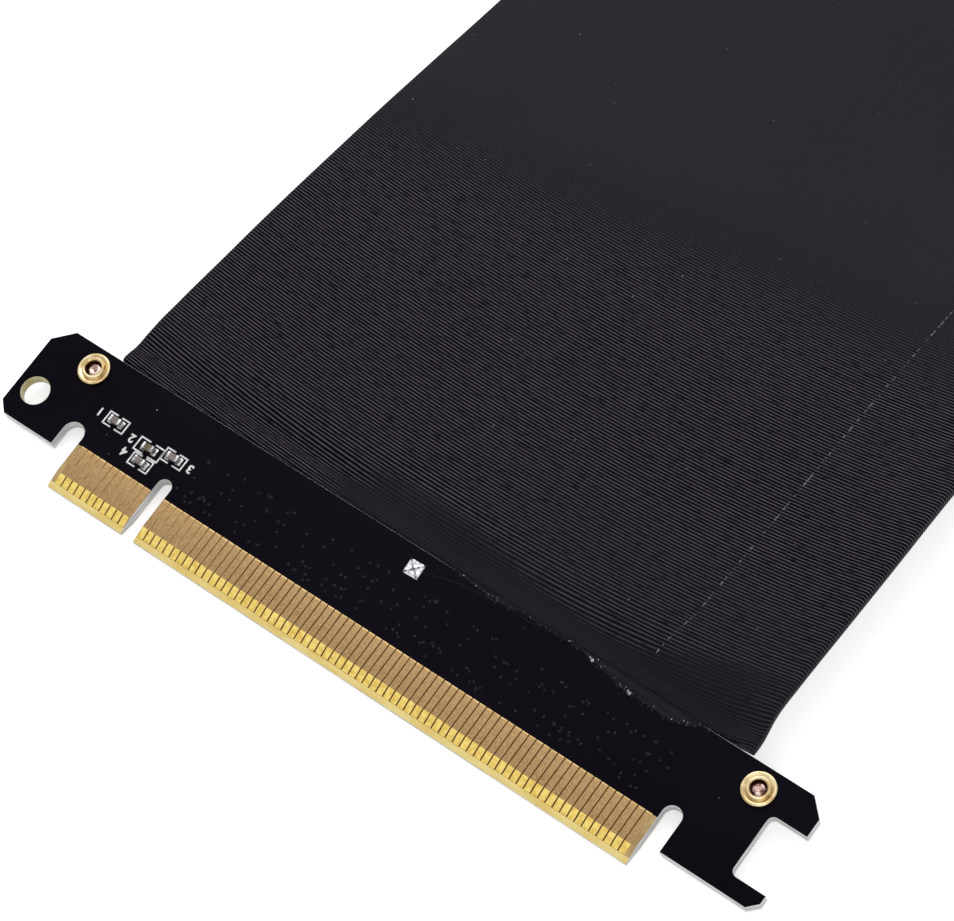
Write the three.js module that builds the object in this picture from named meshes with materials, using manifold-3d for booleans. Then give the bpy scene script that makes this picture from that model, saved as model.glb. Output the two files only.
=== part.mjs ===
// A riser for an expansion card: a board with a card edge, a flat wrapped cable and a board with a slot.
// Millimetres. X runs along the contacts, Y along the cable, Z up from the surface that it lies on.
import * as THREE from "three";
import { mergeVertices } from "three/addons/utils/BufferGeometryUtils.js";
import Module from "manifold-3d";

const wasm = await Module();
wasm.setup();

// Both printed boards
const boardThickness = 1.57;
const seatGap = 0.05; // left between pieces that are soldered, glued or screwed together
const arcSteps = 4;
const smallArcSteps = 1;
const cutMargin = 1; // how far a cutting tool stands clear of what it cuts

// Contacts, the same on the card edge and in the slot
const contactPitch = 1;
const shortContacts = 11;
const longContacts = 71;
const outerMargin = 1.1; // from the outermost contact's centre to the end of the card edge
const keyMargin = 0.55; // from a contact's centre to the key notch
const keyWidth = 1.9;

// Gold fingers of the card edge
const fingerWidth = 0.7;
const fingerThickness = 0.1;
const fingerTop = 6.2; // where the fingers run in under the solder mask
const fingerCarrier = 0.35; // the strip under the mask that joins them
const bevelLength = 2.1;
const bevelDepth = 0.5;

// Board with the card edge, measured from the left end of the card edge and from its tip
const edgeDepth = 17.7;
const reliefTop = 8.4;
const tabShift = 1.5; // the board's middle lies this far right of the card edge's middle
const leftTabFoot = 4.5;
const leftReliefWidth = 2.9;
const leftTopChamfer = 2.35;
const leftFootChamfer = 1.35;
const plainHole = { inset: 2.85, y: 8.87, radius: 1.85 };
const rightTabFoot = 3.1;
const rightReliefWidth = 2.4;
const rightTopChamfer = 2;
const hookChamfer = 1.2;
const hookNotch = { depth: 4.7, low: 5.4, high: 13.3, radius: 0.8 };
const testPad = { offset: 0.3, y: 15.2, width: 2.05, length: 1.95, thickness: 0.08 };

// Chip capacitors, the four on the card-edge board by the centres of their printed frames
const chip = { length: 1.6, width: 0.85, height: 0.8, cap: 0.35, shoulder: 0.05 };
const edgeChipSpots = [[2.27, 10.92], [7.98, 10.29], [11.35, 10.93], [8.14, 8.37]];
const slotChips = 4;
const slotChipPitch = 16;
const slotChipRow = 6.4; // from the cable edge of the board

// Fixings along the cable edge of each board
const nutBeside = 3; // from the cable's edge to a nut's centre
const edgeNutToEnd = 7.45; // from a nut's centre to the end of its board
const slotNutToEnd = 9.4;
const nutInset = 2.77;
const nut = { bore: 0.98, lip: 1.4, lipHeight: 0.8, flange: 2.08, flangeHeight: 0.5, barrel: 1.5 };
const nutFit = 0.05;
const nutCrown = 0.12;
const barrelDepth = 1.5;
const screw = { radius: 0.84, head: 1.9, headHeight: 1.2, headEdge: 0.35, tip: 0.15 };
const clampWidth = 5.2;
const clampThickness = 1.2;
const clampHole = 1.1;
const roundSteps = 16;

// Flat cable
const cableOverhang = 3; // half of what it is wider than the card edge
const cableThickness = 2.4;
const cableSpan = 200;
const cableSteps = 28;
const wrapWall = 0.35;
const wrapCorner = 0.7;
const ribbonCount = 5;
const ribbonMargin = 1.9; // from the cable's edge to the outermost ribbon
const ribbonGap = 0.6;
const ribbonThickness = 1.1;
const ribbonInset = 0.6; // from the end of the wrap
// Underside of the cable's left and right edges above the surface, along the cable
const cableLift = [
  [22, 4.6, 5.2], [27, 4.8, 5.8], [35, 4.6, 5.9], [44, 4.4, 6], [54, 3.9, 6.3], [66, 3.1, 6.2],
  [78, 2, 5.6], [92, 0.7, 4.4], [106, 0.1, 3], [120, 0.1, 1.6], [136, 0.1, 0.4], [152, 0.1, 0.1],
];
// The same before the slot's board, by the distance still to go
const cableLiftAtSlot = [[22, 0.1, 0.1], [11, 0.6, 0.6], [4, 1.7, 1.7]];

// Black bead that seals the cable to a board
const beadDepth = 0.8;
const beadLap = 1.3;
const beadRise = 0.3;
const beadInset = 1.4; // from each edge of the cable
const beadFoot = 0.1; // its underside above the board's underside

// Board with the slot
const slotBoardDepth = 24;
const slotBoardCorner = 1.5;
const slotCentre = 8.2; // from the outer edge of its board
const slotHole = { inset: 3.6, radius: 1.6 };

// Slot housing
const slotEndWall = 1.8;
const slotWidth = 7.5;
const slotHeight = 11.25;
const slotMouth = 1.8;
const slotMouthDepth = 1.3;
const slotFloor = 2.6;
const slotChannel = 3.5;
const slotPlay = 0.12; // added to each side of the card edge's outline
const springWidth = 0.6;
const springThickness = 0.35;
const springCarrier = 0.6;
const springHeadroom = 0.7; // under the walls of the mouth
const springSetback = 0.1; // behind the mouth's walls

// Pad under the slot's board
const padEnd = 5; // from the end of the board
const padEdge = 1.2;
const padCorner = 1;

const finishes = {
  mask: { color: 0x111114, roughness: 0.35, metalness: 0 },
  gold: { color: 0xc29a4b, roughness: 0.35, metalness: 1 },
  brass: { color: 0xc8a464, roughness: 0.3, metalness: 1 },
  steel: { color: 0xb4b5b8, roughness: 0.35, metalness: 1 },
  tin: { color: 0xcfd1d3, roughness: 0.4, metalness: 1 },
  ceramic: { color: 0x8d7f70, roughness: 0.5, metalness: 0 },
  wrap: { color: 0x1e1c22, roughness: 0.7, metalness: 0 },
  ribbon: { color: 0x2b2b2e, roughness: 0.5, metalness: 0 },
  bead: { color: 0x151417, roughness: 0.45, metalness: 0 },
  housing: { color: 0x141416, roughness: 0.45, metalness: 0 },
  pad: { color: 0x1b1b1c, roughness: 0.9, metalness: 0 },
};

// Sizes that follow from the ones above
const shortWidth = (shortContacts - 1) * contactPitch + outerMargin + keyMargin;
const longWidth = (longContacts - 1) * contactPitch + outerMargin + keyMargin;
const longStart = shortWidth + keyWidth;
const cardLength = longStart + longWidth;
const cableWidth = cardLength + 2 * cableOverhang;
const nutSpan = cableWidth + 2 * nutBeside;
const edgeCentre = cardLength / 2 + tabShift;
const leftTabEnd = nutSpan / 2 + edgeNutToEnd - edgeCentre;
const rightTabEnd = nutSpan / 2 + edgeNutToEnd + edgeCentre - cardLength;
const ribbonPitch = (cableWidth - 2 * ribbonMargin + ribbonGap) / ribbonCount;
const slotBoardLength = nutSpan + 2 * slotNutToEnd;
const springHeight = slotHeight - slotMouthDepth - springHeadroom - slotFloor - seatGap;
const fingersBelow = boardThickness + seatGap + fingerThickness;
const headsBelow = boardThickness + 2 * seatGap + clampThickness + screw.headHeight;
const headReach = edgeDepth - nutInset - screw.head + screw.headEdge;
// The card-edge board lies on its lower fingers and on the heads of its two screws
const edgeTilt = Math.atan2(headsBelow - fingersBelow, headReach - bevelLength);
const tipHeight = fingersBelow * Math.cos(edgeTilt) - bevelLength * Math.sin(edgeTilt);
const tipReach = bevelDepth * Math.sin(edgeTilt);
const slotBoardTop = headsBelow;
const cableStart = onEdgeBoard(edgeDepth + beadDepth + 2 * seatGap, -boardThickness / 2);
const cableEnd = { y: cableStart.y + cableSpan, z: slotBoardTop - boardThickness / 2 };
const slotCableEdge = cableEnd.y + beadDepth + 2 * seatGap;
const overallLength = slotCableEdge + slotBoardDepth - tipReach;

function onEdgeBoard(along, above) {
  return {
    y: along * Math.cos(edgeTilt) - above * Math.sin(edgeTilt),
    z: tipHeight + along * Math.sin(edgeTilt) + above * Math.cos(edgeTilt),
  };
}

function makeMesh(name, geometry, finish) {
  const mesh = new THREE.Mesh(geometry, new THREE.MeshStandardMaterial(finishes[finish]));
  mesh.name = name;
  return mesh;
}

function extruded(shape, depth, steps = 1, curveSegments = arcSteps) {
  return new THREE.ExtrudeGeometry(shape, { depth, steps, curveSegments, bevelEnabled: false });
}

function roundedShape(width, height, radius) {
  const x = width / 2;
  const y = height / 2;
  const shape = new THREE.Shape();
  shape.absarc(x - radius, y - radius, radius, 0, Math.PI / 2);
  shape.absarc(radius - x, y - radius, radius, Math.PI / 2, Math.PI);
  shape.absarc(radius - x, radius - y, radius, Math.PI, Math.PI * 1.5);
  shape.absarc(x - radius, radius - y, radius, Math.PI * 1.5, Math.PI * 2);
  shape.closePath();
  return shape;
}

// Two half circles, so that a hole has as many sides as the turned pieces
function roundHole(x, y, radius) {
  const hole = new THREE.Path();
  hole.absarc(x, y, radius, 0, -Math.PI, true);
  hole.absarc(x, y, radius, -Math.PI, -2 * Math.PI, true);
  return hole;
}

function solidOf(geometry) {
  const bare = geometry.clone();
  bare.deleteAttribute("normal");
  bare.deleteAttribute("uv");
  const merged = mergeVertices(bare);
  const { Mesh, Manifold } = wasm;
  return new Manifold(new Mesh({
    numProp: 3,
    vertProperties: Float32Array.from(merged.attributes.position.array),
    triVerts: Uint32Array.from(merged.index.array),
  }));
}

function geometryOf(solid) {
  const { vertProperties, triVerts } = solid.getMesh();
  const geometry = new THREE.BufferGeometry();
  geometry.setAttribute("position", new THREE.BufferAttribute(vertProperties, 3));
  geometry.setIndex(new THREE.BufferAttribute(triVerts, 1));
  geometry.computeVertexNormals();
  return geometry;
}

function blockAt(low, high) {
  const size = high.map((value, axis) => value - low[axis]);
  const block = new THREE.BoxGeometry(...size);
  return block.translate(...low.map((value, axis) => value + size[axis] / 2));
}

// Outline of the card-edge board: card edge, key notch, right tab with its hook, left tab
function edgeOutline() {
  const shape = new THREE.Shape();
  const relief = (from, width) => {
    const radius = width / 2;
    shape.lineTo(from, reliefTop - radius);
    shape.absarc(from + radius, reliefTop - radius, radius, Math.PI, 0, true);
  };
  const end = cardLength + rightTabEnd;
  const inner = end - hookNotch.depth;
  const { low, high, radius } = hookNotch;
  shape.moveTo(0, 0);
  shape.lineTo(shortWidth, 0);
  relief(shortWidth, keyWidth);
  shape.lineTo(longStart, 0);
  shape.lineTo(cardLength, 0);
  relief(cardLength, rightReliefWidth);
  shape.lineTo(cardLength + rightReliefWidth, rightTabFoot);
  shape.lineTo(end - hookChamfer, rightTabFoot);
  shape.lineTo(end, rightTabFoot + hookChamfer);
  shape.lineTo(end, low);
  shape.lineTo(inner + radius, low);
  shape.absarc(inner + radius, low + radius, radius, Math.PI * 1.5, Math.PI, true);
  shape.lineTo(inner, high - radius);
  shape.absarc(inner + radius, high - radius, radius, Math.PI, Math.PI / 2, true);
  shape.lineTo(end, high);
  shape.lineTo(end, edgeDepth - rightTopChamfer);
  shape.lineTo(end - rightTopChamfer, edgeDepth);
  shape.lineTo(leftTopChamfer - leftTabEnd, edgeDepth);
  shape.lineTo(-leftTabEnd, edgeDepth - leftTopChamfer);
  shape.lineTo(-leftTabEnd, leftTabFoot + leftFootChamfer);
  shape.lineTo(leftFootChamfer - leftTabEnd, leftTabFoot);
  shape.lineTo(-leftReliefWidth, leftTabFoot);
  relief(-leftReliefWidth, leftReliefWidth);
  shape.closePath();
  return shape;
}

// Wedge that takes the tip's bevel off one face, across the whole board
function bevelCutter() {
  const slope = bevelDepth / bevelLength;
  const shape = new THREE.Shape([
    new THREE.Vector2(bevelLength, 0),
    new THREE.Vector2(bevelLength, cutMargin),
    new THREE.Vector2(-cutMargin, cutMargin),
    new THREE.Vector2(-cutMargin, -slope * (bevelLength + cutMargin)),
  ]);
  const wedge = extruded(shape, leftTabEnd + cardLength + rightTabEnd);
  return wedge.rotateX(Math.PI / 2).rotateZ(Math.PI / 2).translate(-leftTabEnd, 0, 0);
}

function edgeBoard() {
  const shape = edgeOutline();
  shape.holes.push(roundHole(plainHole.inset - leftTabEnd, plainHole.y, plainHole.radius));
  for (const side of [-1, 1]) {
    shape.holes.push(roundHole(edgeCentre + side * nutSpan / 2, edgeDepth - nutInset, nut.barrel + nutFit));
  }
  const blank = solidOf(extruded(shape, boardThickness).translate(0, 0, -boardThickness));
  const upper = solidOf(bevelCutter());
  const lower = solidOf(bevelCutter().rotateY(Math.PI).translate(cardLength + rightTabEnd - leftTabEnd, 0, 0));
  const cut = blank.subtract(upper).subtract(lower.translate([0, 0, -boardThickness]));
  return geometryOf(cut);
}

// Teeth hanging from a carrier strip: the fingers of the card edge, or the springs of the slot
function comb(count, width, foot, top, carrier, thickness) {
  const shape = new THREE.Shape();
  const last = (count - 1) * contactPitch;
  shape.moveTo(-width / 2, top + carrier);
  for (let i = 0; i < count; i++) {
    const x = i * contactPitch;
    shape.lineTo(x - width / 2, foot);
    shape.lineTo(x + width / 2, foot);
    if (i < count - 1) {
      shape.lineTo(x + width / 2, top);
      shape.lineTo(x + contactPitch - width / 2, top);
    }
  }
  shape.lineTo(last + width / 2, top + carrier);
  shape.closePath();
  return extruded(shape, thickness);
}

// The two groups of contacts, by name, count and the place of the first contact's centre
const contactGroups = [
  { part: "short", count: shortContacts, first: outerMargin },
  { part: "long", count: longContacts, first: longStart + keyMargin },
];

function edgeFingers() {
  const meshes = [];
  for (const { part, count, first } of contactGroups) {
    for (const [face, z] of [["top", seatGap], ["bottom", -fingersBelow]]) {
      const geometry = comb(count, fingerWidth, bevelLength, fingerTop, fingerCarrier, fingerThickness);
      meshes.push(makeMesh(`edge_contacts_${face}_${part}`, geometry.translate(first, 0, z), "gold"));
    }
  }
  return meshes;
}

function turned(profile) {
  const points = profile.map(([radius, height]) => new THREE.Vector2(radius, height));
  return new THREE.LatheGeometry(points, roundSteps).rotateX(Math.PI / 2);
}

function brassNut() {
  const { bore, lip, lipHeight, flange, flangeHeight, barrel } = nut;
  const base = seatGap;
  return turned([
    [bore, -barrelDepth],
    [barrel, -barrelDepth],
    [barrel, base],
    [flange, base],
    [flange, flangeHeight - nutCrown],
    [flange - nutCrown, flangeHeight],
    [lip + nutCrown, flangeHeight - nutCrown],
    [lip, lipHeight],
    [bore, lipHeight],
    [bore, -barrelDepth],
  ]);
}

function clampScrew() {
  const under = -(boardThickness + 2 * seatGap + clampThickness);
  const bottom = under - screw.headHeight;
  return turned([
    [0, bottom],
    [screw.head - screw.headEdge, bottom],
    [screw.head, bottom + screw.headEdge],
    [screw.head, under],
    [screw.radius, under],
    [screw.radius, screw.tip - screw.headEdge],
    [screw.radius - screw.headEdge, screw.tip],
    [0, screw.tip],
  ]);
}

function clampBar() {
  const shape = roundedShape(nutSpan + clampWidth, clampWidth, clampWidth / 2);
  for (const side of [-1, 1]) {
    shape.holes.push(roundHole(side * nutSpan / 2, 0, clampHole));
  }
  return extruded(shape, clampThickness).translate(0, 0, -boardThickness - seatGap - clampThickness);
}

// Bead along a board's cable edge: a lip on the upper face and a bar in front of the edge
function sealBead(depth) {
  const length = cableWidth - 2 * beadInset;
  const near = depth + seatGap;
  const shape = new THREE.Shape([
    new THREE.Vector2(depth - beadLap, seatGap),
    new THREE.Vector2(near, seatGap),
    new THREE.Vector2(near, beadFoot - boardThickness),
    new THREE.Vector2(near + beadDepth, beadFoot - boardThickness),
    new THREE.Vector2(near + beadDepth, beadRise),
    new THREE.Vector2(depth - beadLap, beadRise),
  ]);
  return extruded(shape, length).rotateX(Math.PI / 2).rotateZ(Math.PI / 2).translate(-length / 2, 0, 0);
}

// What both boards carry along the cable edge, in the board's own axes with its upper face at zero
function cableEdgeFixings(prefix, middle, depth) {
  const row = depth - nutInset;
  const meshes = [
    makeMesh(`${prefix}_clamp_bar`, clampBar().translate(middle, row, 0), "steel"),
    makeMesh(`${prefix}_seal_bead`, sealBead(depth).translate(middle, 0, 0), "bead"),
  ];
  for (const [side, name] of [[-1, "left"], [1, "right"]]) {
    const x = middle + side * nutSpan / 2;
    meshes.push(makeMesh(`${prefix}_nut_${name}`, brassNut().translate(x, row, 0), "brass"));
    meshes.push(makeMesh(`${prefix}_screw_${name}`, clampScrew().translate(x, row, 0), "steel"));
  }
  return meshes;
}

// Chip capacitor lying along X, thicker at its two tinned ends
function chipCapacitor() {
  const { length, height, cap, shoulder, width } = chip;
  const end = length / 2;
  const shape = new THREE.Shape([
    new THREE.Vector2(-end, 0),
    new THREE.Vector2(cap - end, 0),
    new THREE.Vector2(cap - end, shoulder),
    new THREE.Vector2(end - cap, shoulder),
    new THREE.Vector2(end - cap, 0),
    new THREE.Vector2(end, 0),
    new THREE.Vector2(end, height),
    new THREE.Vector2(end - cap, height),
    new THREE.Vector2(end - cap, height - shoulder),
    new THREE.Vector2(cap - end, height - shoulder),
    new THREE.Vector2(cap - end, height),
    new THREE.Vector2(-end, height),
  ]);
  return extruded(shape, width).rotateX(Math.PI / 2).translate(0, width / 2, seatGap);
}

function edgeAssembly() {
  const group = new THREE.Group();
  group.add(makeMesh("edge_board", edgeBoard(), "mask"));
  group.add(...edgeFingers());
  group.add(...cableEdgeFixings("edge", edgeCentre, edgeDepth));
  edgeChipSpots.forEach(([x, y], i) => {
    group.add(makeMesh(`edge_capacitor_${i + 1}`, chipCapacitor().translate(x, y, 0), "ceramic"));
  });
  const { width, length, thickness } = testPad;
  const pad = new THREE.BoxGeometry(width, length, thickness);
  pad.translate(edgeCentre + testPad.offset, testPad.y, seatGap + thickness / 2);
  group.add(makeMesh("edge_test_pad", pad, "tin"));
  group.rotation.x = edgeTilt;
  group.position.set(-edgeCentre, 0, tipHeight);
  return group;
}

// Both edges of the cable in one curve: x and z hold the middle heights of its left and right edges
function cableRoute() {
  const half = cableThickness / 2;
  const onPlane = onEdgeBoard(edgeDepth + beadDepth + 2 * seatGap + half, -boardThickness / 2);
  const points = [
    new THREE.Vector3(cableStart.z, cableStart.y, cableStart.z),
    new THREE.Vector3(onPlane.z, onPlane.y, onPlane.z),
  ];
  for (const [y, left, right] of cableLift) {
    points.push(new THREE.Vector3(left + half, y, right + half));
  }
  for (const [toGo, left, right] of cableLiftAtSlot) {
    points.push(new THREE.Vector3(left + half, cableEnd.y - toGo, right + half));
  }
  points.push(new THREE.Vector3(cableEnd.z, cableEnd.y - half / 2, cableEnd.z));
  points.push(new THREE.Vector3(cableEnd.z, cableEnd.y, cableEnd.z));
  return new THREE.CatmullRomCurve3(points);
}

const route = cableRoute();
const routeLength = route.getLength();

// Bends a strip that was extruded straight, with its length along Z, so that it follows the route
function layOnRoute(geometry) {
  const position = geometry.attributes.position;
  for (let i = 0; i < position.count; i++) {
    const across = position.getX(i);
    const above = -position.getY(i);
    const along = THREE.MathUtils.clamp(position.getZ(i) / routeLength, 0, 1);
    const point = route.getPointAt(along);
    const tangent = route.getTangentAt(along);
    const share = across / cableWidth + 0.5;
    const slope = Math.atan2(THREE.MathUtils.lerp(tangent.x, tangent.z, share), tangent.y);
    const height = THREE.MathUtils.lerp(point.x, point.z, share);
    position.setXYZ(i, across, point.y - above * Math.sin(slope), height + above * Math.cos(slope));
  }
  geometry.computeVertexNormals();
  return geometry;
}

function cableWrap() {
  const shape = roundedShape(cableWidth, cableThickness, wrapCorner);
  const inner = roundedShape(cableWidth - 2 * wrapWall, cableThickness - 2 * wrapWall, wrapCorner - wrapWall);
  shape.holes.push(inner);
  return extruded(shape, routeLength, cableSteps, smallArcSteps);
}

function ribbon(index) {
  const shape = new THREE.Shape();
  const x = (index - (ribbonCount - 1) / 2) * ribbonPitch;
  const ribbonWidth = ribbonPitch - ribbonGap;
  shape.moveTo(x - ribbonWidth / 2, -ribbonThickness / 2);
  shape.lineTo(x + ribbonWidth / 2, -ribbonThickness / 2);
  shape.lineTo(x + ribbonWidth / 2, ribbonThickness / 2);
  shape.lineTo(x - ribbonWidth / 2, ribbonThickness / 2);
  shape.closePath();
  const strip = extruded(shape, routeLength, cableSteps);
  return strip.scale(1, 1, 1 - 2 * ribbonInset / routeLength).translate(0, 0, ribbonInset);
}

// Strips are extruded with X across, Y through the thickness and Z along the cable
function cable() {
  const group = new THREE.Group();
  group.add(makeMesh("cable_wrap", layOnRoute(cableWrap()), "wrap"));
  for (let i = 0; i < ribbonCount; i++) {
    group.add(makeMesh(`cable_ribbon_${i + 1}`, layOnRoute(ribbon(i)), "ribbon"));
  }
  return group;
}

function slotBoard() {
  const shape = roundedShape(slotBoardLength, slotBoardDepth, slotBoardCorner);
  const middle = slotBoardDepth / 2;
  for (const side of [-1, 1]) {
    const x = side * (slotBoardLength / 2 - slotHole.inset);
    shape.holes.push(roundHole(x, slotCentre - middle, slotHole.radius));
    const nutRow = middle - nutInset;
    shape.holes.push(roundHole(side * nutSpan / 2, nutRow, nut.barrel + nutFit));
  }
  return extruded(shape, boardThickness).translate(0, middle, -boardThickness);
}

// The slot takes a card edge of the outline above, the short part at the same side as on the cable's
// other end. Its own X starts at the short end of the card edge, Y is across it and Z its height.
function slotHousing() {
  const half = slotWidth / 2;
  const low = -slotPlay - slotEndWall;
  const high = cardLength + slotPlay + slotEndWall;
  let body = solidOf(blockAt([low, -half, 0], [high, half, slotHeight]));
  const spans = [[-slotPlay, shortWidth + slotPlay], [longStart - slotPlay, cardLength + slotPlay]];
  for (const [from, to] of spans) {
    const mouth = blockAt([from, -slotMouth / 2, slotFloor], [to, slotMouth / 2, slotHeight + cutMargin]);
    const channelTop = slotHeight - slotMouthDepth;
    const channel = blockAt([from, -slotChannel / 2, slotFloor], [to, slotChannel / 2, channelTop]);
    body = body.subtract(solidOf(mouth)).subtract(solidOf(channel));
  }
  return geometryOf(body);
}

function slotSprings() {
  const meshes = [];
  const near = slotMouth / 2 + springSetback;
  for (const { part, count, first } of contactGroups) {
    for (const [side, y] of [["outer", near], ["cable", -near - springThickness]]) {
      const geometry = comb(count, springWidth, -springHeight, -springCarrier, springCarrier, springThickness);
      geometry.rotateX(-Math.PI / 2).translate(first, y, slotFloor + seatGap);
      meshes.push(makeMesh(`slot_springs_${side}_${part}`, geometry, "gold"));
    }
  }
  return meshes;
}

function slotPad() {
  const depth = slotBoardDepth - nutInset - clampWidth / 2 - 2 * padEdge;
  const thickness = headsBelow - boardThickness - seatGap;
  const shape = roundedShape(slotBoardLength - 2 * padEnd, depth, padCorner);
  return extruded(shape, thickness).translate(0, padEdge + depth / 2, -headsBelow);
}

// Built with its cable edge towards +Y like the other board, then turned to face the cable
function slotAssembly() {
  const group = new THREE.Group();
  group.add(makeMesh("slot_board", slotBoard(), "mask"));
  group.add(makeMesh("slot_base_pad", slotPad(), "pad"));
  group.add(...cableEdgeFixings("slot", 0, slotBoardDepth));
  for (let i = 0; i < slotChips; i++) {
    const x = (i - (slotChips - 1) / 2) * slotChipPitch;
    const geometry = chipCapacitor().translate(x, slotBoardDepth - slotChipRow, 0);
    group.add(makeMesh(`slot_capacitor_${i + 1}`, geometry, "ceramic"));
  }
  const slot = new THREE.Group();
  slot.add(makeMesh("slot_housing", slotHousing(), "housing"), ...slotSprings());
  slot.rotation.z = Math.PI;
  slot.position.set(edgeCentre, slotCentre, seatGap);
  group.add(slot);
  group.rotation.z = Math.PI;
  group.position.set(0, slotCableEdge + slotBoardDepth, slotBoardTop);
  return group;
}

const riser = new THREE.Group();
riser.add(edgeAssembly(), cable(), slotAssembly());
riser.position.y = -tipReach - overallLength / 2;

export default riser;
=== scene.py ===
import math
import random

import bmesh
import bpy
from bmesh.types import BMEdge, BMFace, BMVert
from mathutils import Matrix, Quaternion, Vector, noise


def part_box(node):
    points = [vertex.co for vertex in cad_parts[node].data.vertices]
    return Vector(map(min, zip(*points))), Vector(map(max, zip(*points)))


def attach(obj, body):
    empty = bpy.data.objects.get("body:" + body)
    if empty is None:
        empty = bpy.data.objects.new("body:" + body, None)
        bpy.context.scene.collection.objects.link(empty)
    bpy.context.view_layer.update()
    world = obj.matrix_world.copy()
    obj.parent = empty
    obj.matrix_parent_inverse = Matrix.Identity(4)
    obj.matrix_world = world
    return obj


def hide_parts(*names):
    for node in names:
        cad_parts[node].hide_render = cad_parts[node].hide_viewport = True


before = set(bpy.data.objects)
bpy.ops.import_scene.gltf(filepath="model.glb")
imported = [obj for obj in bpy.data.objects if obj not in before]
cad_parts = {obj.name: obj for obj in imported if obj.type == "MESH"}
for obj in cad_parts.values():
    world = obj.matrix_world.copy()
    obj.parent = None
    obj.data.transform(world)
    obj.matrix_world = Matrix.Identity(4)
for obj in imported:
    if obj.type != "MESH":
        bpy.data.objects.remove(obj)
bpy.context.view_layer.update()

mm = 0.001
body = "root"
turned = Matrix.Rotation(math.pi, 4, "Z")
random.seed(7)

# Card-edge board, in its own millimetres: u along the contacts, v from the tip to the cable, w up
card = {
    "thickness": 1.57, "depth": 17.7, "leftEnd": 11.95, "rightEnd": 14.95, "middle": 44.1,
    "shortWidth": 11.65, "keyWidth": 1.9, "length": 85.2, "reliefTop": 8.4,
    "leftFoot": 4.5, "leftRelief": 2.9, "leftChamfers": (2.35, 1.35),
    "rightFoot": 3.1, "rightRelief": 2.4, "rightChamfers": (1.2, 2.0),
    "notchDepth": 4.7, "notchSpan": (5.4, 13.3), "notchCorner": 0.8,
    # Where the gaps' painted highlight ends: pale up to the first u, half as pale up to the second, darker
    # beyond
    "bevelLength": 2.1, "bevelDepth": 0.5, "edgeBreak": 0.035, "litGaps": (19.6, 26.6),
    "plainHole": (-9.1, 8.87, 1.85), "nutRow": 14.93, "nutSpan": 97.2, "nutHole": 1.55,
}
fingers = {
    # groups: how many contacts, and where the first one is
    "groups": {"short": (11, 1.1), "long": (71, 14.1)}, "pitch": 1.0, "width": 0.85,
    "maskEdge": 6.2, "tip": 0.77, "height": 0.1, "edge": 0.03, "plate": 0.07,
}
nutSpots = {name: (side * card["nutSpan"] / 2, card["nutRow"] - card["depth"])
            for name, side in (("left", -1), ("right", 1))}


# Places: from a board's own millimetres to the frame's metres
def cardPlace():
    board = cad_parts["edge_board"].data
    up = max((f for f in board.polygons if f.normal.z > 0.9), key=lambda f: f.area).normal
    tilt = math.atan2(-up.y, up.z)
    along = Vector((0, math.cos(tilt), math.sin(tilt)))
    top = max(v.co.dot(up) for v in board.vertices)
    onTop = [v.co for v in board.vertices if v.co.dot(up) > top - 0.01 * mm]
    start = min(co.dot(along) for co in onTop) - card["bevelLength"] * mm
    origin = up * top + along * start
    origin.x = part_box("edge_board")[0][0] + card["leftEnd"] * mm
    return Matrix.Translation(origin) @ Matrix.Rotation(tilt, 4, "X") @ Matrix.Scale(mm, 4)


def slotBoardPlace():
    low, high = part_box("slot_board")
    return Matrix.Translation((0, low[1], high[2])) @ turned @ Matrix.Scale(mm, 4)


cardToWorld = cardPlace()
# The same two frames with their origin in the middle of the cable's edge, cable towards +v
cableEnds = {
    "edge": cardToWorld @ Matrix.Translation((card["middle"], card["depth"], 0)),
    "slot": slotBoardPlace(),
}


# Materials
def pick(sockets, name):
    return next(s for s in sockets if s.name == name and s.enabled)


class Nodes:
    # A node tree with short ways to add and link nodes
    def __init__(self, tree):
        self.tree = tree

    def add(self, kind, settings=None, **values):
        node = self.tree.nodes.new(kind)
        for name, value in (settings or {}).items():
            setattr(node, name, value)
        self.feed(node, **values)
        return node

    def feed(self, node, *unnamed, **named):
        # Values or sockets for a node's inputs, in their order or by name, _ for a space
        for i, value in enumerate(unnamed):
            self.give(node.inputs[i], value)
        for name, value in named.items():
            self.give(pick(node.inputs, name.replace("_", " ")), value)

    def give(self, target, value):
        if isinstance(value, bpy.types.NodeSocket):
            self.tree.links.new(value, target)
        else:
            target.default_value = value

    def math(self, operation, *values):
        node = self.add("ShaderNodeMath", {"operation": operation})
        self.feed(node, *values)
        return node.outputs[0]

    def times(self, a, b):
        return self.math("MULTIPLY", a, b)

    def mix(self, factor, a, b):
        node = self.add("ShaderNodeMix", {"data_type": "RGBA"}, Factor=factor, A=a, B=b)
        return pick(node.outputs, "Result")

    def smooth(self, value, start, end):
        node = self.add("ShaderNodeMapRange", {"interpolation_type": "SMOOTHSTEP"},
                        Value=value, From_Min=start, From_Max=end)
        return pick(node.outputs, "Result")

    def noise(self, place, scale, detail):
        node = self.add("ShaderNodeTexNoise", Vector=place, Scale=scale, Detail=detail)
        return node.outputs["Fac"]

    def place(self, group, **values):
        return self.add("ShaderNodeGroup", {"node_tree": group}, **values).outputs

    def objectPlace(self):
        return self.add("ShaderNodeTexCoord").outputs["Object"]


def newGroup(name, inputs, outputs):
    # The first value of an input tells its kind
    tree = bpy.data.node_groups.new(name, "ShaderNodeTree")
    for label, value in inputs.items():
        kind = "Float" if isinstance(value, float) else "Vector" if len(value) == 3 else "Color"
        item = tree.interface.new_socket(label, in_out="INPUT", socket_type="NodeSocket" + kind)
        item.default_value = value
    for label, kind in outputs.items():
        tree.interface.new_socket(label, in_out="OUTPUT", socket_type="NodeSocket" + kind)
    nodes = Nodes(tree)
    given = nodes.add("NodeGroupInput").outputs
    return tree, nodes, given, nodes.add("NodeGroupOutput")


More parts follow.
